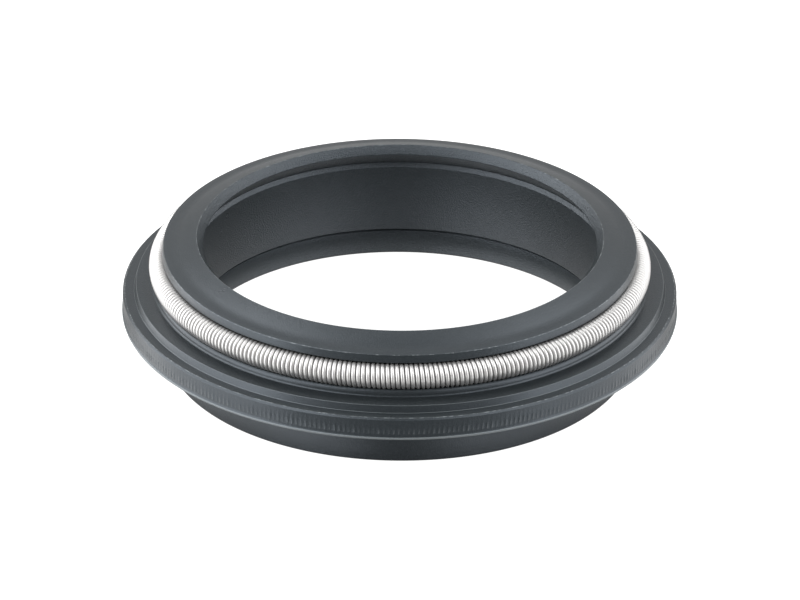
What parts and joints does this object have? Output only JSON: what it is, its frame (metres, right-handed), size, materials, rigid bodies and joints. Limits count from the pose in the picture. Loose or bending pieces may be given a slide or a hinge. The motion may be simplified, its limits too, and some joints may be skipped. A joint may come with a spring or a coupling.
{
  "type": "dropper seatpost dust seal",
  "caption": "Moulded rubber dust seal ring with a wiper lip drawn in by a garter spring, a stepped seating flange and a press-in skirt, for the head of a dropper seatpost.",
  "frame": {"origin": "on the seal's axis, at the lower end of the skirt", "axes": "+Z along the axis, from the skirt up to the wiper lip"},
  "size_m": [0.035, 0.035, 0.0081],
  "materials": {
    "seal_rubber": "dark slate-grey moulded rubber, satin, with a fine grain",
    "spring_steel": "bright drawn spring-steel wire"
  },
  "bodies": {
    "root": {"seal_body": "seal_rubber", "garter_spring": "spring_steel"}
  },
  "joints": []
}
